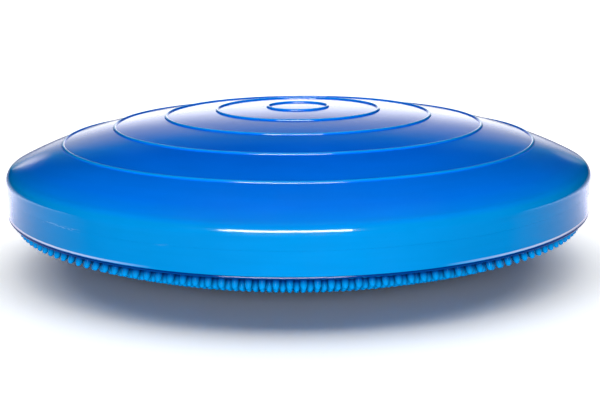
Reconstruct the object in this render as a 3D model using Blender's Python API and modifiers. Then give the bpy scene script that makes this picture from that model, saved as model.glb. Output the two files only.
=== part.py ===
"""Air-filled balance disc with a ribbed dome on top and a nubbed dome underneath.

Two moulded skins meet edge to edge half way up the rim wall. A valve in the lower skin holds the air in.
Metres, +Z up. The origin is on the disc's axis, on the floor that the lowest nubs stand on.
"""

import math

import bmesh
import bpy
from mathutils import Matrix, Vector

# Rim
RIM_RADIUS = 0.1650  # widest point, at the top of the rim wall
RIM_TAPER = 0.0007  # how much narrower the wall is at its foot
RIM_HEIGHT = 0.0268  # from the rim's bottom edge up to the edge of the upper dome
RIM_TOP_INSET = 0.0038  # how far in from the wall the upper dome ends and the top edge's rounding starts
RIM_TOP_INNER = 0.0050  # height of the bevel inside the top edge
RIM_FOOT_ROUND = 0.0012  # rounding at the rim's bottom edge
SEAM_HEIGHT = 0.0138  # from the rim's bottom edge up to the seam between the two skins
LIP_WIDTH = 0.0022  # flat land between the foot rounding and the lower dome

# Domes. At a share t of its radius, a dome has fallen by this share of its height:
# SPHERE_SHARE * t^2 + (1 - SPHERE_SHARE) * t^4
UPPER_RISE = 0.0320
LOWER_DEPTH = 0.0230
SPHERE_SHARE = 0.58
STANDING_RADIUS = 0.0380  # the lower dome is pressed flat inside this radius by the disc's weight

# Skins
WALL = 0.0045
CLEARANCE = 0.0003  # between pieces that touch
TURNED_STEPS = 64

# Ribs on the upper dome
RIB_COUNT = 5
FIRST_RIB_RADIUS = 0.0170
LAST_RIB_INSET = 0.0282  # from the last rib to the edge of the upper dome
RIB_WIDTH = 0.0026
RIB_CREST_WIDTH = 0.0010
RIB_HEIGHT = 0.0010

# Nubs on the lower dome
NUB_HEIGHT = 0.0053
NUB_ROOT_RADIUS = 0.0017
NUB_TIP_RADIUS = 0.0011
NUB_SIDES = 6
NUB_SINK = 0.0008  # how deep a nub's root is buried in the skin
NUB_PITCH = 0.0065
OUTER_ROW_INSET = 0.0038  # from the lower dome's edge to the outermost row
OUTER_ROWS = 2
ROW_PITCH = 0.0056  # between those rows
STANDING_ROWS = 3
STANDING_PITCH = 0.0120

# Valve, in the lower dome behind the axis. Its heights are from the skin's outer face, outwards.
VALVE_OFFSET = 0.1200  # from the disc's axis
VALVE_STEPS = 24
HOLE_RADIUS = 0.0070
BORE_RADIUS = 0.0040
COLLAR_PROUD = 0.0006
COLLAR_TUBE = 0.0060  # how far the collar's tube runs inwards from its flange seat
FLANGE_RADIUS = 0.0120
FLANGE_THICKNESS = 0.0020
STEM_LENGTH = 0.0052
HEAD_RADIUS = 0.0062
HEAD_THICKNESS = 0.0015
PLUG_ROUND = 0.0005
TAB_LENGTH = 0.0030
TAB_WIDTH = 0.0040
TAB_THICKNESS = 0.0011
CORE_HEAD_RADIUS = 0.0056
CORE_HEAD_THICKNESS = 0.0012
NEEDLE_RADIUS = 0.0009

# Where the parts above meet
UPPER_RADIUS = RIM_RADIUS - RIM_TOP_INSET
LOWER_RADIUS = RIM_RADIUS - RIM_TAPER - RIM_FOOT_ROUND - LIP_WIDTH


def fall(share):
    """How much of its full height a dome has fallen by, at this share of its radius."""
    return SPHERE_SHARE * share**2 + (1 - SPHERE_SHARE) * share**4


def underside(radius):
    """Height of the lower skin's outer face."""
    flat = fall(STANDING_RADIUS / LOWER_RADIUS)
    return NUB_HEIGHT + LOWER_DEPTH * max(0.0, fall(radius / LOWER_RADIUS) - flat)


def underside_slope(radius):
    step = 0.0001
    return math.atan((underside(radius + step) - underside(radius - step)) / (2 * step))


RIM_FOOT = underside(LOWER_RADIUS)
SEAM = RIM_FOOT + SEAM_HEIGHT
UPPER_EDGE = RIM_FOOT + RIM_HEIGHT
APEX = UPPER_EDGE + UPPER_RISE


def top_side(radius):
    """Height of the upper skin's outer face, without its ribs."""
    return APEX - UPPER_RISE * fall(radius / UPPER_RADIUS)


def top_slope(radius):
    """Angle of the upper dome below the level, at this radius."""
    step = 0.0001
    return math.atan((top_side(radius - step) - top_side(radius + step)) / (2 * step))


def rib_radii():
    pitch = (UPPER_RADIUS - LAST_RIB_INSET - FIRST_RIB_RADIUS) / (RIB_COUNT - 1)
    return [FIRST_RIB_RADIUS + pitch * number for number in range(RIB_COUNT)]


def wall_radius(height):
    """Outer radius of the straight rim wall."""
    share = (UPPER_EDGE - height) / RIM_HEIGHT
    return RIM_RADIUS - RIM_TAPER * share


def upper_outside():
    """Profile of the upper skin's outer face, from the apex down to the seam."""
    points = [(0.0, APEX)]
    radii = rib_radii()
    for number, radius in enumerate(radii):
        for side, half, raised in (
            (-1, RIB_WIDTH / 2, 0.0),
            (-1, RIB_CREST_WIDTH / 2, RIB_HEIGHT),
            (1, RIB_CREST_WIDTH / 2, RIB_HEIGHT),
            (1, RIB_WIDTH / 2, 0.0),
        ):
            at = radius + side * half
            points.append((at, top_side(at) + raised))
        following = radii[number + 1] if number + 1 < RIB_COUNT else UPPER_RADIUS
        middle = (radius + following) / 2
        points.append((middle, top_side(middle)))
    start = math.pi / 2 - top_slope(UPPER_RADIUS)
    rounding = RIM_TOP_INSET / (1 - math.cos(start))
    centre = (RIM_RADIUS - rounding, UPPER_EDGE - rounding * math.sin(start))
    for step in range(5):
        angle = start * (1 - step / 4)
        points.append((centre[0] + rounding * math.cos(angle), centre[1] + rounding * math.sin(angle)))
    seam_edge = SEAM + CLEARANCE / 2
    points.append((wall_radius(seam_edge), seam_edge))
    return points


def upper_inside():
    """Profile of the upper skin's inner face, from the seam up to the axis."""
    seam_edge = SEAM + CLEARANCE / 2
    radius = wall_radius(seam_edge) - WALL
    points = [(radius, seam_edge), (radius, UPPER_EDGE - WALL - RIM_TOP_INNER)]
    for share in (0.97, 0.86, 0.68, 0.46, 0.22):
        at = share * UPPER_RADIUS
        points.append((at, top_side(at) - WALL))
    points.append((0.0, APEX - WALL))
    return points


def lower_inside():
    """Profile of the lower skin's inner face, from the axis out and up to the seam."""
    seam_edge = SEAM - CLEARANCE / 2
    radius = wall_radius(seam_edge) - WALL
    points = [(0.0, NUB_HEIGHT + WALL), (STANDING_RADIUS, NUB_HEIGHT + WALL)]
    for share in (0.36, 0.50, 0.64, 0.78, 0.89, 0.97):
        at = share * LOWER_RADIUS
        points.append((at, underside(at) + WALL))
    points += [(radius, RIM_FOOT + WALL + RIM_FOOT_ROUND), (radius, seam_edge)]
    return points


def lower_outside():
    """Profile of the lower skin's outer face, from the seam down to the axis, without its nubs."""
    seam_edge = SEAM - CLEARANCE / 2
    points = [(wall_radius(seam_edge), seam_edge)]
    foot = RIM_RADIUS - RIM_TAPER
    for step in range(4):
        angle = math.pi / 2 * step / 3
        across = RIM_FOOT_ROUND * (1 - math.cos(angle))
        down = RIM_FOOT_ROUND * (1 - math.sin(angle))
        points.append((foot - across, RIM_FOOT + down))
    for share in (1.0, 0.94, 0.86, 0.76, 0.64, 0.50, 0.36):
        at = share * LOWER_RADIUS
        points.append((at, underside(at)))
    points += [(STANDING_RADIUS, NUB_HEIGHT), (0.0, NUB_HEIGHT)]
    return points


def material(name, colour, roughness, coat=0.0):
    made = bpy.data.materials.new(name)
    made.use_nodes = True
    shader = made.node_tree.nodes["Principled BSDF"]
    shader.inputs["Base Color"].default_value = (*colour, 1.0)
    shader.inputs["Roughness"].default_value = roughness
    shader.inputs["Metallic"].default_value = 0.0
    shader.inputs["Coat Weight"].default_value = coat
    return made


def collection(name):
    made = bpy.data.collections.new(name)
    bpy.context.scene.collection.children.link(made)
    return made


def add(name, mesh, group, parent=None):
    made = bpy.data.objects.new(name, mesh)
    group.objects.link(made)
    made.parent = parent
    return made


def turned(name, profile, steps, group, parent=None):
    """A piece turned about its own Z axis from a profile that runs down its outer side."""
    mesh = bpy.data.meshes.new(name)
    closed = profile[0][0] > 0 and profile[-1][0] > 0
    edges = [(index, index + 1) for index in range(len(profile) - 1)]
    if closed:
        edges.append((len(profile) - 1, 0))
    mesh.from_pydata([(radius, 0.0, height) for radius, height in profile], edges, [])
    made = add(name, mesh, group, parent)
    screw = made.modifiers.new("turn", "SCREW")
    screw.steps = steps
    screw.render_steps = steps
    screw.use_merge_vertices = True
    screw.merge_threshold = 0.00005
    screw.use_smooth_shade = True
    return made


def boolean(target, other, operation):
    made = target.modifiers.new(f"{operation.lower()} {other.name}", "BOOLEAN")
    made.operation = operation
    made.object = other


def helper(made):
    made.hide_render = True
    made.display_type = "WIRE"
    return made


def outward_frame(radius, azimuth):
    """Frame on the lower skin's outer face: its origin on the face, its Z axis straight out of it."""
    tilt = underside_slope(radius)
    around = Matrix.Rotation(azimuth, 4, "Z")
    place = Matrix.Translation(Vector((radius, 0.0, underside(radius))))
    return around @ place @ Matrix.Rotation(math.pi - tilt, 4, "Y")


def nub_places():
    """(radius, azimuth) of the outermost rows, set half a pitch apart, and of those it stands on."""
    places = [(0.0, 0.0)]
    for row in range(OUTER_ROWS):
        radius = LOWER_RADIUS - OUTER_ROW_INSET - ROW_PITCH * row
        count = round(2 * math.pi * radius / NUB_PITCH)
        places += [(radius, 2 * math.pi * (number + row / 2) / count) for number in range(count)]
    for row in range(1, STANDING_ROWS + 1):
        around = 6 * row
        places += [(STANDING_PITCH * row, 2 * math.pi * number / around) for number in range(around)]
    return places


def nubs(group):
    """All nubs as separate closed bodies in one object, each with its root inside the skin."""
    shapes = bmesh.new()
    depth = NUB_HEIGHT + NUB_SINK
    for radius, azimuth in nub_places():
        middle = Matrix.Translation(Vector((0.0, 0.0, depth / 2 - NUB_SINK)))
        bmesh.ops.create_cone(
            shapes,
            cap_ends=True,
            segments=NUB_SIDES,
            radius1=NUB_ROOT_RADIUS,
            radius2=NUB_TIP_RADIUS,
            depth=depth,
            matrix=outward_frame(radius, azimuth) @ middle,
        )
    mesh = bpy.data.meshes.new("nubs")
    shapes.to_mesh(mesh)
    shapes.free()
    return helper(add("nubs", mesh, group))


def valve_axis(group):
    """An empty on the lower skin's outer face, with its Z axis straight out through the valve."""
    made = add("valve_axis", None, group)
    made.empty_display_size = 0.01
    made.matrix_world = outward_frame(VALVE_OFFSET, math.pi / 2)
    return made


def flange_seat():
    """How far inside the skin's outer face the collar's flat flange clears the curved skin."""
    edge = underside_slope(VALVE_OFFSET + FLANGE_RADIUS) - underside_slope(VALVE_OFFSET - FLANGE_RADIUS)
    sag = FLANGE_RADIUS * math.tan(edge / 2) / 2
    return WALL + CLEARANCE + sag


def upper_shell(group):
    made = turned("upper_shell", upper_outside() + upper_inside(), TURNED_STEPS, group)
    made.data.materials.append(material("upper_vinyl", (0.004, 0.152, 0.620), 0.22, coat=0.6))


def lower_shell(group, cutters):
    made = turned("lower_shell", lower_inside() + lower_outside(), TURNED_STEPS, group)
    made.data.materials.append(material("lower_vinyl", (0.005, 0.170, 0.640), 0.26, coat=0.5))
    boolean(made, nubs(cutters), "UNION")
    return made


def valve_hole(skin, cutters, axis):
    through = 3 * WALL
    profile = [(0.0, through / 2), (HOLE_RADIUS, through / 2), (HOLE_RADIUS, -through), (0.0, -through)]
    boolean(skin, helper(turned("valve_hole", profile, VALVE_STEPS, cutters, axis)), "DIFFERENCE")


def valve_collar(group, axis):
    """Soft boss bonded into the skin from inside: a neck in the hole, a flange behind it and a tube."""
    neck = HOLE_RADIUS - CLEARANCE
    seat = flange_seat()
    profile = [
        (BORE_RADIUS, COLLAR_PROUD),
        (neck, COLLAR_PROUD),
        (neck, -seat),
        (FLANGE_RADIUS, -seat),
        (FLANGE_RADIUS, -seat - FLANGE_THICKNESS),
        (neck, -seat - FLANGE_THICKNESS),
        (neck, -seat - COLLAR_TUBE),
        (BORE_RADIUS, -seat - COLLAR_TUBE),
    ]
    made = turned("valve_collar", profile, VALVE_STEPS, group, axis)
    made.data.materials.append(material("collar_vinyl", (0.010, 0.120, 0.480), 0.35))


def valve_core(group, axis):
    """Rubber plug with a needle channel, pushed into the collar's tube from inside the disc."""
    stem = BORE_RADIUS - CLEARANCE
    shoulder = -flange_seat() - COLLAR_TUBE - CLEARANCE
    profile = [
        (NEEDLE_RADIUS, -STEM_LENGTH - CLEARANCE),
        (stem, -STEM_LENGTH - CLEARANCE),
        (stem, shoulder),
        (CORE_HEAD_RADIUS, shoulder),
        (CORE_HEAD_RADIUS, shoulder - CORE_HEAD_THICKNESS),
        (NEEDLE_RADIUS, shoulder - CORE_HEAD_THICKNESS),
    ]
    made = turned("valve_core", profile, VALVE_STEPS, group, axis)
    made.data.materials.append(material("core_rubber", (0.020, 0.020, 0.022), 0.60))


def pull_tab(cutters, axis):
    """Small lug on the rim of the stopper's head, for a fingernail."""
    reach = TAB_LENGTH + HEAD_RADIUS / 2
    shape = bmesh.new()
    middle = COLLAR_PROUD + CLEARANCE + HEAD_THICKNESS / 2
    place = Matrix.Translation(Vector((HEAD_RADIUS + TAB_LENGTH - reach / 2, 0.0, middle)))
    bmesh.ops.create_cube(
        shape, size=1.0, matrix=place @ Matrix.Diagonal((reach, TAB_WIDTH, TAB_THICKNESS, 1.0))
    )
    mesh = bpy.data.meshes.new("pull_tab")
    shape.to_mesh(mesh)
    shape.free()
    return helper(add("pull_tab", mesh, cutters, axis))


def valve_plug(group, cutters, axis):
    """Stopper that covers the valve: a stem in the collar's bore and a thin head with a pull tab."""
    stem = BORE_RADIUS - CLEARANCE
    under = COLLAR_PROUD + CLEARANCE
    top = under + HEAD_THICKNESS
    profile = [
        (0.0, top),
        (HEAD_RADIUS - PLUG_ROUND, top),
        (HEAD_RADIUS, top - PLUG_ROUND),
        (HEAD_RADIUS, under),
        (stem, under),
        (stem, -STEM_LENGTH + PLUG_ROUND),
        (stem - PLUG_ROUND, -STEM_LENGTH),
        (0.0, -STEM_LENGTH),
    ]
    made = turned("valve_plug", profile, VALVE_STEPS, group, axis)
    made.data.materials.append(material("plug_plastic", (0.720, 0.740, 0.760), 0.40))
    boolean(made, pull_tab(cutters, axis), "UNION")


def clear_scene():
    for old in list(bpy.data.objects):
        bpy.data.objects.remove(old, do_unlink=True)


def build():
    clear_scene()
    disc = collection("balance_disc")
    cutters = collection("cutters")
    cutters.hide_render = True
    axis = valve_axis(disc)
    upper_shell(disc)
    skin = lower_shell(disc, cutters)
    valve_hole(skin, cutters, axis)
    valve_collar(disc, axis)
    valve_core(disc, axis)
    valve_plug(disc, cutters, axis)


build()
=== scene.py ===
import math

import bmesh
import bpy
import numpy as np
from mathutils import Matrix, Vector


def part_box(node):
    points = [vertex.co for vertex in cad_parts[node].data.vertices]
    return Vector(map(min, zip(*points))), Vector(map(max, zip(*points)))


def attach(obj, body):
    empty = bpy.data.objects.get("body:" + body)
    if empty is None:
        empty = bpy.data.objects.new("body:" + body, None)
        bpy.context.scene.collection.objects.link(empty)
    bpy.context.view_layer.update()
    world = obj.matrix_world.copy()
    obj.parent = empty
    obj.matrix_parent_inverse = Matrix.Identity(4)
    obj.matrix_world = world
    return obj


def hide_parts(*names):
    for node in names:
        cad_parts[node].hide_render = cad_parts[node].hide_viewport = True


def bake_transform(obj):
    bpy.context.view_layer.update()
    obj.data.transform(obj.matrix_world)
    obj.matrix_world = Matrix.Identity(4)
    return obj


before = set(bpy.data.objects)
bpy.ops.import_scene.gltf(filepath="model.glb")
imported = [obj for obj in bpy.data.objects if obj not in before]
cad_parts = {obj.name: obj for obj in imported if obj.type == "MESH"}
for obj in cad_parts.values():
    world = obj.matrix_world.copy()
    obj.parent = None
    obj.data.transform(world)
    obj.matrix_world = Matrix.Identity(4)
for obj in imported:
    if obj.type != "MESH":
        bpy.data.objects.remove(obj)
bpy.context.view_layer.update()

# Places read from the CAD model, in metres. The disc's axis is the Z axis.
upper_low, upper_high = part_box("upper_shell")
lower_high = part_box("lower_shell")[1]
RIM_RADIUS = upper_high.x
SEAM = (upper_low.z + lower_high.z) / 2

# Sizes are in metres and angles in radians, unless a comment says otherwise.

# Rim
RIM_TAPER = 0.0007
RIM_HEIGHT = 0.0268
RIM_TOP_INSET = 0.0038
RIM_FOOT_ROUND = 0.0012
LIP_WIDTH = 0.0022
LIP_BEAD = 0.0006  # radius of the round bead at the lip
LIP_INSET = LIP_BEAD * 0.6  # from the wall's face in to the bead's middle
SEAM_HEIGHT = 0.0138
SEAM_GAP = 0.00004
WALL = 0.0045
INSIDE_CORNER_DROP = 0.009  # from the rim's upper edge down to the corner inside it

# Domes
SPHERE_SHARE = 0.58  # the rest of a dome's fall is with the fourth power of the radius
UPPER_RISE = 0.0320
LOWER_DEPTH = 0.0230
STANDING_RADIUS = 0.0380  # the underside is flat out to here
UPPER_RADIUS = RIM_RADIUS - RIM_TOP_INSET
LOWER_RADIUS = RIM_RADIUS - RIM_TAPER - RIM_FOOT_ROUND - LIP_WIDTH
RIM_FOOT = SEAM - SEAM_HEIGHT
UPPER_EDGE = RIM_FOOT + RIM_HEIGHT
APEX = UPPER_EDGE + UPPER_RISE
UPPER_INSIDE = (0.97, 0.92, 0.84, 0.72, 0.58, 0.42, 0.22)  # shares of the radius, going in
LOWER_INSIDE = (0.36, 0.50, 0.64, 0.78, 0.89, 0.97)  # shares of the radius, going out

# Unevenness of the soft skins
CURL = 0.0026  # how far the rim curls up on the left and the right
RIPPLE_LIFT = 0.00028
RIPPLE_DENT = 0.00012
RIPPLE_START = 0.09  # the ripples begin at this radius
RIPPLE_GROWTH = 0.06  # and reach their full strength this much further out
RIPPLE_END = 0.166  # their lift ends at this radius
RIPPLE_FADE = 0.012  # and starts to fade this much further in
# (share, waves around, turn per metre going out, start)
RIPPLES = [(0.45, 5, 0, 0.7), (0.30, 8, 60, 2.1), (0.18, 13, -90, 4.0)]
DENTS = [(1.0, 4, 1.3), (0.6, 9, 0.4)]  # (share, waves around, start)

# Ribs
RIB_COUNT = 5
FIRST_RIB = 0.0170
LAST_RIB = UPPER_RADIUS - 0.0282
RIB_HALF_WIDTH = 0.0009
RIB_HEIGHT = 0.0009
RIB_FLATNESS = 2.2  # exponents of the rib's section
RIB_FULLNESS = 0.6

# Nubs
NUB_HEIGHT = 0.0053
NUB_SINK = 0.0006  # how deep the root goes into the skin
# (radius, height above the skin's outer face)
NUB_SECTION = [(0.00185, -NUB_SINK), (0.00182, 0.0022), (0.00160, 0.0038), (0.00105, 0.0049)]
NUB_PITCH = 0.0065
ROW_PITCH = 0.0056
OUTER_ROW = LOWER_RADIUS - 0.0038
NUB_SIDES = 8
FRONT = -math.pi / 2  # azimuth of the camera's side
FRONT_TURN = 0.0142  # from the front to the first nub

# Valve
VALVE_OFFSET = 0.1200
VALVE_HOLE = 0.0070
VALVE_CLEAR = 0.0150  # no nub's middle is nearer than this to the valve's axis

# Mesh
UPPER_STEPS = 256
LOWER_STEPS = 192
DRILL_STEPS = 48
SHARP_ANGLE = math.radians(50)
SLOPE_STEP = 0.0001

# Units of the lists of stops, for each metre
DECIMETRES = 10.0
CENTIMETRES = 100.0
MILLIMETRES = 1000.0

# Vinyl. A list of stops holds (value, colour), where one number is a grey.
# Noise is (scale, detail, roughness), and a pattern is noise with its stops.
VINYL_IOR = 1.5
LEVEL_GRAIN = (1.0, 1.0, 14.0)  # stretches noise into level streaks
# Blue of the vinyl with painted shading: cyan and lighter on the rim's wall and the dome's edge,
# deeper blue towards the apex, as light from the front falls. Values are decimetres above the
# floor.
BLUES_WITH_PAINTED_SHADING = [
    (DECIMETRES * UPPER_EDGE - 0.03, (0.0, 0.232, 0.610)),
    (DECIMETRES * UPPER_EDGE + 0.01, (0.0, 0.212, 0.83)),
    (DECIMETRES * UPPER_EDGE + 0.05, (0.0, 0.182, 0.86)),
    (DECIMETRES * UPPER_EDGE + 0.12, (0.0, 0.164, 0.80)),
    (DECIMETRES * APEX - 0.11, (0.0, 0.150, 0.84)),
]
CLOUDS = (11.0, 4.0, 0.5, [(0.30, 0.90), (0.70, 1.02)])
STREAKS = (26.0, 3.0, 0.5, [(0.30, 0.95), (0.70, 1.0)])
# Painted sheen: the tops of the ribs are coloured a lighter cyan, where light catches them.
RIB_PAINTED_SHEEN = (0.0, 0.250, 0.72)
CREST = [(0.40, 0.0), (0.60, 1.0)]  # values are millimetres above the dome's face
GAP_SHIFT = 0.2
# Painted shade and light under the disc. Multiplies the blue: dark on the skin between the nubs
# and at their roots, lighter at their tips. Values are centimetres below the lower skin's face,
# plus the shift.
NUB_PAINTED_SHADE_AND_LIGHT = [
    (0.19, 1.0),
    (0.22, (1.0, 0.05, 0.22)),
    (0.34, (1.0, 0.30, 0.50)),
    (0.52, 0.95),
    (0.73, 1.30),
]
# Painted highlight: a pale line along the lip's bead, towards the left and the right only.
LIP_PAINTED_HIGHLIGHT = (0.80, 0.78, 0.95)
LIP_RISE = 0.07  # centimetres from the lower skin's face up to the middle of the painted highlight line
LIP_HIGHLIGHT_LINE = [(0.03, 1.0), (0.06, 0.0)]  # values are centimetres from that middle
LIP_HIGHLIGHT_SIDES = [(0.07, 0.0), (0.15, 1.0)]  # values are metres to the left or right
RUBBED = (0.30, 0.55, 0.85)
RUBBED_COLOUR = 0.4
RUBBED_ROUGHNESS = 0.3
SEAM_BAND = [(0.02, 1.0), (0.10, 0.0)]  # values are centimetres above or below the seam
PATCHES = (30.0, 1.0, 0.5, [(0.60, 0.0), (0.66, 1.0)])
SPECKS = (160.0, 4.0, 0.75, [(0.50, 0.0), (0.58, 1.0)])
ROUGHNESS = (55.0, 4.0, 0.5, [(0.35, 0.09), (0.70, 0.14)])
PEEL = (420.0, 2.0, 0.5)
PEEL_BUMP = (0.12, 0.00025)  # strength, distance

# Valve's materials: (name, dark colour, light colour, roughness)
COLLAR_VINYL = ("collar_vinyl", (0.004, 0.09, 0.40), (0.008, 0.13, 0.50), 0.30)
CORE_RUBBER = ("core_rubber", (0.015, 0.015, 0.016), (0.03, 0.03, 0.032), 0.55)
PLUG_PLASTIC = ("plug_plastic", (0.66, 0.68, 0.70), (0.74, 0.76, 0.78), 0.35)
MOTTLE = (60.0, 4.0, 0.5)
MOTTLE_RANGE = (0.3, 0.7)
MOTTLE_ROUGHNESS = 0.12
GRAIN = (1800.0, 2.0, 0.5)
GRAIN_BUMP = (0.2, 0.0001)  # strength, distance

# Floor
FLOOR_SIDE = 6.0
FLOOR_SEEN = (2.15, 2.1, 2.0)  # by the camera
FLOOR_GREY = (0.8, 0.8, 0.8)  # to soft light
FLOOR_SHIFT = 0.5
# As the vinyl mirrors it. Values are metres towards the back, plus the shift.
FLOOR_MIRRORED = [
    (0.36, (0.0, 0.02, 0.04)),
    (0.47, (0.85, 0.83, 1.0)),
    (0.56, (1.65, 1.60, 1.95)),
    (0.63, (2.8, 2.7, 3.2)),
    (0.72, (2.0, 1.95, 2.3)),
    (1.00, (0.5, 0.5, 0.55)),
]

# Surroundings as the vinyl mirrors them. Values are parts of the direction looked in: X goes to
# the right, Y straight behind the disc and Z up.
BAND_BEHIND = [(0.93, 0.0), (0.982, 1.1)]
BAND_UP = [(0.10, 1.0), (0.15, 0.0)]
GLOW_BEHIND = [
    (0.850, 0.0),
    (0.9135, 0.34),
    (0.9563, 0.66),
    (0.9703, 1.05),
    (0.9816, 1.6),
    (0.990, 2.0),
]
GLOW_ASIDE = [(0.27, 1.0), (0.36, 0.0)]
STRIP_SHIFT = 0.5  # is added to X
STRIPS_ACROSS = [
    (0.150, 0.0),
    (0.165, 1.3),
    (0.190, 1.3),
    (0.210, 0.0),
    (0.790, 0.0),
    (0.810, 0.5),
    (0.835, 0.5),
    (0.850, 0.0),
]
STRIPS_UP = [(0.085, 0.0), (0.105, 1.0), (0.170, 1.0), (0.200, 0.0)]
# Values are half the brightness.
ROOM_TINTS = [
    (0.0, (0.0, 0.01, 0.03)),
    (0.14, (0.03, 0.27, 0.34)),
    (0.30, (0.55, 0.60, 0.58)),
    (0.5, 1.05),
    (1.0, 2.1),
]

# Lights: (name, size, power in watts, place, what it points at, what sees it)
DISC = (0.0, 0.0, 0.05)
FILL_SIZE = (1.6, 0.8)
FLOOR_LIGHTS = [
    ("floor_light", (7.0, 7.0), 138.0, (0.0, 1.2, 2.5), (0.0, 0.3, 0.0), "colour"),
    ("floor_fill", FILL_SIZE, 12.0, (0.0, -2.2, 0.45), DISC, "colour"),
]
DISC_LIGHTS = [
    ("front_fill", FILL_SIZE, 68.0, (-0.12, -2.2, 0.45), DISC, "colour"),
    ("back_fill", FILL_SIZE, 28.0, (0.3, 2.2, 0.6), DISC, "colour"),
    ("top_fill", (2.0, 2.0), 21.0, (0.0, 0.3, 2.5), DISC, "colour"),
    ("front_softbox", (1.6, 0.42), 60.0, (-0.13, -1.75, 1.05), DISC, "gloss"),
]

# Camera, recovered from the outlines of the ribs and edges in the photo
LENS = 84.8  # millimetres, as is the sensor's width
SENSOR_WIDTH = 36.0
CAMERA_PLACE = (0.0008, -0.800, APEX + 0.1101)
CAMERA_PITCH = math.radians(90 - 11.64)
CAMERA_ROLL = math.radians(-0.47)


def fall(share):
    """How much of its full height a dome has fallen by, at this share of its radius."""
    return SPHERE_SHARE * share**2 + (1 - SPHERE_SHARE) * share**4


def top_side(radius):
    """Height of the upper skin's outer face, without its ribs."""
    return APEX - UPPER_RISE * fall(radius / UPPER_RADIUS)


def underside(radius):
    """Height of the lower skin's outer face."""
    flat = fall(STANDING_RADIUS / LOWER_RADIUS)
    return NUB_HEIGHT + LOWER_DEPTH * max(0.0, fall(radius / LOWER_RADIUS) - flat)


def slope(height, radius):
    """Angle of a face of revolution to the floor, from its function of height by radius."""
    rise = height(radius + SLOPE_STEP) - height(radius - SLOPE_STEP)
    return math.atan(rise / (2 * SLOPE_STEP))


def rib_radii():
    return np.linspace(FIRST_RIB, LAST_RIB, RIB_COUNT)


def rib_bead(distance):
    """Height of a rib's rounded section at this distance from its middle."""
    share = min(1.0, abs(distance) / RIB_HALF_WIDTH)
    return RIB_HEIGHT * (1 - share**RIB_FLATNESS) ** RIB_FULLNESS


def wall_radius(height):
    return RIM_RADIUS - RIM_TAPER * (UPPER_EDGE - height) / RIM_HEIGHT


def upper_profile():
    """Section of the upper skin: from the apex down the outside to the seam, then back inside."""
    points = [(0.0, APEX)]
    start = 0.0
    for radius in rib_radii():
        for share in (0.25, 0.5, 0.75, 1.0):
            at = start + (radius - RIB_HALF_WIDTH - start) * share
            points.append((at, top_side(at)))
        for turn in np.linspace(0, math.pi, 11)[1:]:
            share = -math.cos(turn)
            at = radius + RIB_HALF_WIDTH * share
            points.append((at, top_side(at) + rib_bead(RIB_HALF_WIDTH * share)))
        start = radius + RIB_HALF_WIDTH
    for share in np.linspace(0, 1, 9)[1:-1]:
        at = start + (UPPER_RADIUS - start) * share
        points.append((at, top_side(at)))
    arc = math.pi / 2 + slope(top_side, UPPER_RADIUS)
    rounding = RIM_TOP_INSET / (1 - math.cos(arc))
    middle = (RIM_RADIUS - rounding, UPPER_EDGE - rounding * math.sin(arc))
    for turn in arc * np.linspace(1, 0, 12):
        across, up = rounding * math.cos(turn), rounding * math.sin(turn)
        points.append((middle[0] + across, middle[1] + up))
    bottom = SEAM + SEAM_GAP / 2
    for share in np.linspace(0, 1, 5)[1:]:
        height = middle[1] + (bottom - middle[1]) * share
        points.append((wall_radius(height), height))
    inner = wall_radius(bottom) - WALL
    points += [(inner, bottom), (inner, UPPER_EDGE - INSIDE_CORNER_DROP)]
    for share in UPPER_INSIDE:
        at = share * UPPER_RADIUS
        points.append((at, top_side(at) - WALL))
    points.append((0.0, APEX - WALL))
    return points


def lower_profile():
    """Section of the lower skin: out along the inside, over the seam and back outside."""
    top = SEAM - SEAM_GAP / 2
    inner = wall_radius(top) - WALL
    points = [(0.0, NUB_HEIGHT + WALL), (STANDING_RADIUS, NUB_HEIGHT + WALL)]
    for share in LOWER_INSIDE:
        at = share * LOWER_RADIUS
        points.append((at, underside(at) + WALL))
    points += [(inner, RIM_FOOT + WALL + RIM_FOOT_ROUND), (inner, top)]
    bead = (RIM_RADIUS - RIM_TAPER - LIP_INSET, RIM_FOOT + LIP_BEAD)
    for share in np.linspace(0, 1, 5):
        height = top + (bead[1] + LIP_BEAD - top) * share
        points.append((wall_radius(height), height))
    for angle in np.radians(np.linspace(50, -90, 9)):
        points.append((bead[0] + LIP_BEAD * math.cos(angle), bead[1] + LIP_BEAD * math.sin(angle)))
    for share in np.linspace(1, STANDING_RADIUS / LOWER_RADIUS, 22):
        at = share * LOWER_RADIUS
        points.append((at, underside(at)))
    points.append((0.0, NUB_HEIGHT))
    return points


def new_object(name, mesh):
    made = bpy.data.objects.new(name, mesh)
    bpy.context.scene.collection.objects.link(made)
    return made


def turned(name, profile, steps):
    """Mesh of a profile turned about Z. A point on the axis becomes one vertex."""
    points = []
    rings = []
    for radius, height in profile:
        if radius == 0.0:
            rings.append([len(points)] * steps)
            points.append((0.0, 0.0, height))
            continue
        rings.append(list(range(len(points), len(points) + steps)))
        angles = 2 * np.pi * np.arange(steps) / steps
        points += [(radius * math.cos(a), radius * math.sin(a), height) for a in angles]
    faces = []
    for above, below in zip(rings, rings[1:]):
        for step in range(steps):
            after = (step + 1) % steps
            corners = (above[step], below[step], below[after], above[after])
            faces.append(tuple(dict.fromkeys(corners)))
    mesh = bpy.data.meshes.new(name)
    mesh.from_pydata(points, [], faces)
    mesh.shade_smooth()
    return mesh


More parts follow.
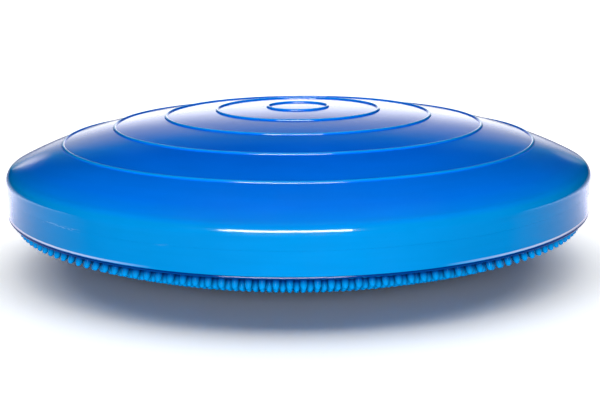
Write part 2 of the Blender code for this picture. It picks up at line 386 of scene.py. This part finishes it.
def wave(mesh):
    """The curl of the rim and the ripples of soft vinyl under air pressure, nil at the axis."""
    places = np.empty(len(mesh.vertices) * 3, np.float32)
    mesh.vertices.foreach_get("co", places)
    places = places.reshape(-1, 3)
    radius = np.hypot(places[:, 0], places[:, 1])
    azimuth = np.arctan2(places[:, 1], places[:, 0])
    places[:, 2] += CURL * np.cos(azimuth) ** 2 * np.clip(radius / RIM_RADIUS, 0, 1) ** 4
    strength = np.clip((radius - RIPPLE_START) / RIPPLE_GROWTH, 0, 1) ** 2
    fade = np.clip((RIPPLE_END - radius) / RIPPLE_FADE, 0, 1)
    lift = sum(
        share * np.sin(around * azimuth + outwards * radius + start)
        for share, around, outwards, start in RIPPLES
    )
    places[:, 2] += RIPPLE_LIFT * strength * lift * fade
    dent = sum(share * np.sin(around * azimuth + start) for share, around, start in DENTS)
    inward = np.abs(RIPPLE_DENT * strength * dent)
    places[:, 0] -= inward * np.cos(azimuth)
    places[:, 1] -= inward * np.sin(azimuth)
    mesh.vertices.foreach_set("co", places.ravel())
    mesh.update()


def outward_frame(radius, azimuth):
    """Frame with its origin on the lower skin's outer face and its Z axis straight out of it."""
    around = Matrix.Rotation(azimuth, 4, "Z")
    place = Matrix.Translation(Vector((radius, 0.0, underside(radius))))
    return around @ place @ Matrix.Rotation(math.pi - slope(underside, radius), 4, "Y")


def nub_places():
    """(radius, azimuth) of every nub, row by row. Odd rows start half a pitch on at the front."""
    valve = Vector((0.0, VALVE_OFFSET))
    places = []
    rows = round(OUTER_ROW / ROW_PITCH)
    for row in range(rows + 1):
        radius = OUTER_ROW * (1 - row / rows)
        count = max(1, round(2 * math.pi * radius / NUB_PITCH))
        step = 2 * math.pi / count
        for number in range(count):
            azimuth = FRONT + FRONT_TURN + step * (number + 0.5 * (row % 2))
            at = Vector((radius * math.cos(azimuth), radius * math.sin(azimuth)))
            if (at - valve).length > VALVE_CLEAR:
                places.append((radius, azimuth))
    return places


def nub_field():
    """Every nub as a closed bullet with its root inside the skin."""
    angles = 2 * np.pi * np.arange(NUB_SIDES) / NUB_SIDES
    local = [(r * math.cos(a), r * math.sin(a), z) for r, z in NUB_SECTION for a in angles]
    local = np.array(local + [(0.0, 0.0, NUB_HEIGHT)])
    faces = [tuple(range(NUB_SIDES))[::-1]]
    for ring in range(len(NUB_SECTION) - 1):
        for side in range(NUB_SIDES):
            after = (side + 1) % NUB_SIDES
            low, high = ring * NUB_SIDES, (ring + 1) * NUB_SIDES
            faces.append((low + side, low + after, high + after, high + side))
    tip = len(NUB_SECTION) * NUB_SIDES
    last = tip - NUB_SIDES
    faces += [(last + side, last + (side + 1) % NUB_SIDES, tip) for side in range(NUB_SIDES)]
    points = []
    polygons = []
    for radius, azimuth in nub_places():
        placed = np.array(outward_frame(radius, azimuth))
        start = len(points)
        points += [tuple(p) for p in local @ placed[:3, :3].T + placed[:3, 3]]
        polygons += [tuple(start + corner for corner in face) for face in faces]
    mesh = bpy.data.meshes.new("nub_field")
    mesh.from_pydata(points, [], polygons)
    return mesh


def cut_or_join(target, other, operation):
    """Applies one Boolean to the target and removes the other object."""
    modifier = target.modifiers.new(operation, "BOOLEAN")
    modifier.operation = operation
    modifier.solver = "MANIFOLD"
    modifier.object = other
    evaluated = target.evaluated_get(bpy.context.evaluated_depsgraph_get())
    result = bpy.data.meshes.new_from_object(evaluated)
    target.modifiers.remove(modifier)
    target.data = result
    bpy.data.objects.remove(other)


def new_material(name):
    """A new material, its nodes, its Principled shader and the place that it shades."""
    made = bpy.data.materials.new(name)
    made.use_nodes = True
    nodes = made.node_tree.nodes
    place = nodes.new("ShaderNodeTexCoord").outputs["Object"]
    return made, nodes, nodes["Principled BSDF"], place


def join(source, target):
    """Links one node's output to another's input."""
    target.id_data.links.new(source, target)


def separate(nodes, vector):
    """The X, Y and Z of a vector."""
    made = nodes.new("ShaderNodeSeparateXYZ")
    join(vector, made.inputs[0])
    return made.outputs


def noise(nodes, place, scale, detail, roughness):
    made = nodes.new("ShaderNodeTexNoise")
    made.inputs["Scale"].default_value = scale
    made.inputs["Detail"].default_value = detail
    made.inputs["Roughness"].default_value = roughness
    join(place, made.inputs["Vector"])
    return made.outputs["Fac"]


def ramp(nodes, value, stops):
    """Colour for a value, from (value, colour) stops. A colour may be one number for grey."""
    made = nodes.new("ShaderNodeValToRGB")
    elements = made.color_ramp.elements
    while len(elements) < len(stops):
        elements.new(0.5)
    for element, (position, colour) in zip(elements, stops):
        element.position = position
        element.color = (*(colour if isinstance(colour, tuple) else (colour,) * 3), 1.0)
    join(value, made.inputs["Fac"])
    return made.outputs["Color"]


def pattern(nodes, place, scale, detail, roughness, stops):
    """Noise through a ramp."""
    return ramp(nodes, noise(nodes, place, scale, detail, roughness), stops)


def calculate(nodes, operation, first, second=0.0):
    """One Math node. Each value is a constant or a socket."""
    made = nodes.new("ShaderNodeMath")
    made.operation = operation
    for socket, value in zip(made.inputs, (first, second)):
        if isinstance(value, (int, float)):
            socket.default_value = value
        else:
            join(value, socket)
    return made.outputs[0]


def product(nodes, first, *others):
    for other in others:
        first = calculate(nodes, "MULTIPLY", first, other)
    return first


def mix_colour(nodes, factor, first, second, blend="MIX"):
    """Mix of two colours. The factor and each colour are a constant or a socket."""
    made = nodes.new("ShaderNodeMix")
    made.data_type = "RGBA"
    made.blend_type = blend
    sockets = (made.inputs["Factor"], made.inputs[6], made.inputs[7])
    for socket, value in zip(sockets, (factor, first, second)):
        if isinstance(value, tuple):
            socket.default_value = (*value, 1.0)
        elif isinstance(value, float):
            socket.default_value = value
        else:
            join(value, socket)
    return made.outputs[2]


def bump(nodes, shader, height, strength, distance):
    made = nodes.new("ShaderNodeBump")
    made.inputs["Strength"].default_value = strength
    made.inputs["Distance"].default_value = distance
    join(height, made.inputs["Height"])
    join(made.outputs["Normal"], shader.inputs["Normal"])


def smooth_faces(nodes, x, y):
    """The rim's curl and the heights of both skins' outer faces, curled and without ribs."""
    across = product(nodes, x, x)
    square = calculate(nodes, "ADD", across, product(nodes, y, y))
    curl = product(nodes, across, square, CURL * RIM_RADIUS**-4)
    lowest = NUB_HEIGHT - LOWER_DEPTH * fall(STANDING_RADIUS / LOWER_RADIUS)
    faces = []
    for edge, start, depth in (
        (UPPER_RADIUS, APEX, -UPPER_RISE),
        (LOWER_RADIUS, lowest, LOWER_DEPTH),
    ):
        share = product(nodes, square, edge**-2)
        fourth = product(nodes, share, share, 1 - SPHERE_SHARE)
        fallen = calculate(nodes, "ADD", fourth, product(nodes, share, SPHERE_SHARE))
        height = calculate(nodes, "ADD", product(nodes, fallen, depth), start)
        faces.append(calculate(nodes, "ADD", height, curl))
    return curl, *faces


def vinyl(name):
    """Glossy soft vinyl: clouded blue with painted shading by height, painted sheen on the rib
    crests, painted shade between the nubs with painted light on their tips, a painted highlight
    along the lip at the sides, and scuffs.
    """
    made, nodes, shader, place = new_material(name)
    shader.inputs["IOR"].default_value = VINYL_IOR
    x, y, z = separate(nodes, place)
    curl, upper_face, lower_face = smooth_faces(nodes, x, y)
    height = calculate(nodes, "SUBTRACT", z, curl)
    below = product(nodes, calculate(nodes, "SUBTRACT", lower_face, z), CENTIMETRES)
    level_grain = nodes.new("ShaderNodeVectorMath")
    level_grain.operation = "MULTIPLY"
    level_grain.inputs[1].default_value = LEVEL_GRAIN
    join(place, level_grain.inputs[0])
    level_grain = level_grain.outputs[0]

    # Painted shading: the blue changes with height, cyan low on the rim and deeper towards the
    # apex.
    colour = ramp(nodes, product(nodes, height, DECIMETRES), BLUES_WITH_PAINTED_SHADING)
    colour = mix_colour(nodes, 1.0, colour, pattern(nodes, place, *CLOUDS), "MULTIPLY")
    colour = mix_colour(nodes, 1.0, colour, pattern(nodes, level_grain, *STREAKS), "MULTIPLY")
    # Painted sheen on the rib crests: the upper part of each rib takes a lighter cyan.
    raised = product(nodes, calculate(nodes, "SUBTRACT", z, upper_face), MILLIMETRES)
    colour = mix_colour(nodes, ramp(nodes, raised, CREST), colour, RIB_PAINTED_SHEEN)
    # Painted shade between the nubs and at their roots, and painted light on their tips.
    gaps = ramp(nodes, calculate(nodes, "ADD", below, GAP_SHIFT), NUB_PAINTED_SHADE_AND_LIGHT)
    colour = mix_colour(nodes, 1.0, colour, gaps, "MULTIPLY")

    # Painted highlight: a pale line along the lip, only towards the left and the right.
    off_lip = calculate(nodes, "ABSOLUTE", calculate(nodes, "ADD", below, LIP_RISE))
    sides = ramp(nodes, calculate(nodes, "ABSOLUTE", x), LIP_HIGHLIGHT_SIDES)
    lip = product(nodes, ramp(nodes, off_lip, LIP_HIGHLIGHT_LINE), sides)
    colour = mix_colour(nodes, lip, colour, LIP_PAINTED_HIGHLIGHT)

    off_seam = calculate(nodes, "ABSOLUTE", calculate(nodes, "SUBTRACT", height, SEAM))
    band = ramp(nodes, product(nodes, off_seam, CENTIMETRES), SEAM_BAND)
    patches = pattern(nodes, place, *PATCHES)
    worn = product(nodes, band, patches, pattern(nodes, level_grain, *SPECKS))
    colour = mix_colour(nodes, product(nodes, worn, RUBBED_COLOUR), colour, RUBBED)
    join(colour, shader.inputs["Base Color"])

    rough = pattern(nodes, place, *ROUGHNESS)
    rough = calculate(nodes, "ADD", rough, product(nodes, worn, RUBBED_ROUGHNESS))
    join(rough, shader.inputs["Roughness"])
    bump(nodes, shader, noise(nodes, place, *PEEL), *PEEL_BUMP)
    return made


def plain(name, dark, light, rough):
    """A moulded piece: slightly mottled colour and a fine grain."""
    made, nodes, shader, place = new_material(name)
    mottle = noise(nodes, place, *MOTTLE)
    colours = list(zip(MOTTLE_RANGE, (dark, light)))
    roughness = list(zip(MOTTLE_RANGE, (rough, rough + MOTTLE_ROUGHNESS)))
    join(ramp(nodes, mottle, colours), shader.inputs["Base Color"])
    join(ramp(nodes, mottle, roughness), shader.inputs["Roughness"])
    bump(nodes, shader, noise(nodes, place, *GRAIN), *GRAIN_BUMP)
    return made


def upper_skin(skin_material):
    mesh = turned("upper_skin", upper_profile(), UPPER_STEPS)
    wave(mesh)
    made = new_object("upper_skin", mesh)
    mesh.materials.append(skin_material)
    mesh.set_sharp_from_angle(angle=SHARP_ANGLE)
    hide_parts("upper_shell")
    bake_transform(made)


def lower_skin(skin_material):
    """The lower skin with every nub joined to it and the valve's hole cut through it."""
    made = new_object("lower_skin", turned("lower_skin", lower_profile(), LOWER_STEPS))
    cut_or_join(made, new_object("nub_field", nub_field()), "UNION")
    reach = 6 * WALL
    section = [(0.0, reach), (VALVE_HOLE, reach), (VALVE_HOLE, -reach), (0.0, -reach)]
    drill = new_object("drill", turned("drill", section, DRILL_STEPS))
    drill.matrix_world = outward_frame(VALVE_OFFSET, math.pi / 2)
    bpy.context.view_layer.update()
    cut_or_join(made, drill, "DIFFERENCE")
    made.name = "lower_skin"
    made.data.name = "lower_skin"
    made.data.materials.clear()
    made.data.materials.append(skin_material)
    wave(made.data)
    made.data.shade_smooth()
    made.data.set_sharp_from_angle(angle=SHARP_ANGLE)
    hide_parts("lower_shell")
    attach(made, "base")


def valve():
    """Gives the valve's three CAD nodes their materials."""
    for node, look in (
        ("valve_collar", COLLAR_VINYL),
        ("valve_core", CORE_RUBBER),
        ("valve_plug", PLUG_PLASTIC),
    ):
        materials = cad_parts[node].data.materials
        materials.clear()
        materials.append(plain(*look))


def area_light(name, size, power, place, target, seen_by, lit):
    """Soft light on the collection `lit`, for its colour or for its gloss."""
    data = bpy.data.lights.new(name, "AREA")
    data.shape = "RECTANGLE"
    data.size, data.size_y = size
    data.energy = power
    made = bpy.data.objects.new(name, data)
    bpy.context.scene.collection.objects.link(made)
    made.location = place
    direction = Vector(target) - Vector(place)
    made.rotation_euler = direction.to_track_quat("-Z", "Y").to_euler()
    made.visible_glossy = seen_by == "gloss"
    made.visible_diffuse = seen_by == "colour"
    made.light_linking.receiver_collection = lit


def floor():
    """Pale floor, white to the camera, that the vinyl mirrors dark in front and bright behind."""
    mesh = bpy.data.meshes.new("floor")
    shape = bmesh.new()
    bmesh.ops.create_grid(shape, x_segments=1, y_segments=1, size=FLOOR_SIDE / 2)
    shape.to_mesh(mesh)
    shape.free()
    made = new_object("floor", mesh)
    paint, nodes, glossy, place = new_material("floor_paint")
    nodes.remove(glossy)
    shader = nodes.new("ShaderNodeBsdfDiffuse")
    back = calculate(nodes, "ADD", separate(nodes, place)["Y"], FLOOR_SHIFT)
    ray = nodes.new("ShaderNodeLightPath").outputs
    mirrored = ramp(nodes, back, FLOOR_MIRRORED)
    colour = mix_colour(nodes, ray["Is Glossy Ray"], FLOOR_GREY, mirrored)
    colour = mix_colour(nodes, ray["Is Camera Ray"], colour, FLOOR_SEEN)
    join(colour, shader.inputs["Color"])
    join(shader.outputs[0], nodes["Material Output"].inputs["Surface"])
    mesh.materials.append(paint)
    return made


def sky():
    """Surroundings: bright low behind the disc, with an upright strip at each side, else dim."""
    world = bpy.data.worlds.new("studio")
    bpy.context.scene.world = world
    world.use_nodes = True
    nodes = world.node_tree.nodes
    x, y, z = separate(nodes, nodes.new("ShaderNodeTexCoord").outputs["Generated"])
    band = product(nodes, ramp(nodes, z, BAND_UP), ramp(nodes, y, BAND_BEHIND))
    aside = calculate(nodes, "ABSOLUTE", x)
    glow = product(nodes, ramp(nodes, y, GLOW_BEHIND), ramp(nodes, aside, GLOW_ASIDE))
    strips = product(
        nodes,
        ramp(nodes, calculate(nodes, "ADD", x, STRIP_SHIFT), STRIPS_ACROSS),
        ramp(nodes, z, STRIPS_UP),
        calculate(nodes, "GREATER_THAN", y, 0.0),
    )
    bright = calculate(nodes, "MAXIMUM", calculate(nodes, "MAXIMUM", band, glow), strips)
    mirrored = ramp(nodes, product(nodes, bright, 0.5), ROOM_TINTS)
    to_camera = nodes.new("ShaderNodeLightPath").outputs["Is Camera Ray"]
    seen = mix_colour(nodes, to_camera, mirrored, (1.0, 1.0, 1.0))
    join(seen, nodes["Background"].inputs["Color"])


def studio():
    """Lights for the floor alone, which give the soft shadow, and lights for the disc alone."""
    ground = floor()
    floor_only = bpy.data.collections.new("floor_only")
    floor_only.objects.link(ground)
    the_rest = bpy.data.collections.new("all_but_floor")
    the_rest.objects.link(ground)
    the_rest.collection_objects[0].light_linking.link_state = "EXCLUDE"
    sky()
    for lights, lit in ((FLOOR_LIGHTS, floor_only), (DISC_LIGHTS, the_rest)):
        for light in lights:
            area_light(*light, lit)


def camera():
    data = bpy.data.cameras.new("camera")
    data.sensor_width = SENSOR_WIDTH
    data.lens = LENS
    made = bpy.data.objects.new("camera", data)
    bpy.context.scene.collection.objects.link(made)
    made.location = CAMERA_PLACE
    tilt = Matrix.Rotation(CAMERA_PITCH, 4, "X") @ Matrix.Rotation(CAMERA_ROLL, 4, "Z")
    made.rotation_euler = tilt.to_euler()
    bpy.context.scene.camera = made


upper_skin(vinyl("upper_vinyl"))
lower_skin(vinyl("lower_vinyl"))
valve()
studio()
camera()
bpy.context.scene.view_settings.view_transform = "Standard"
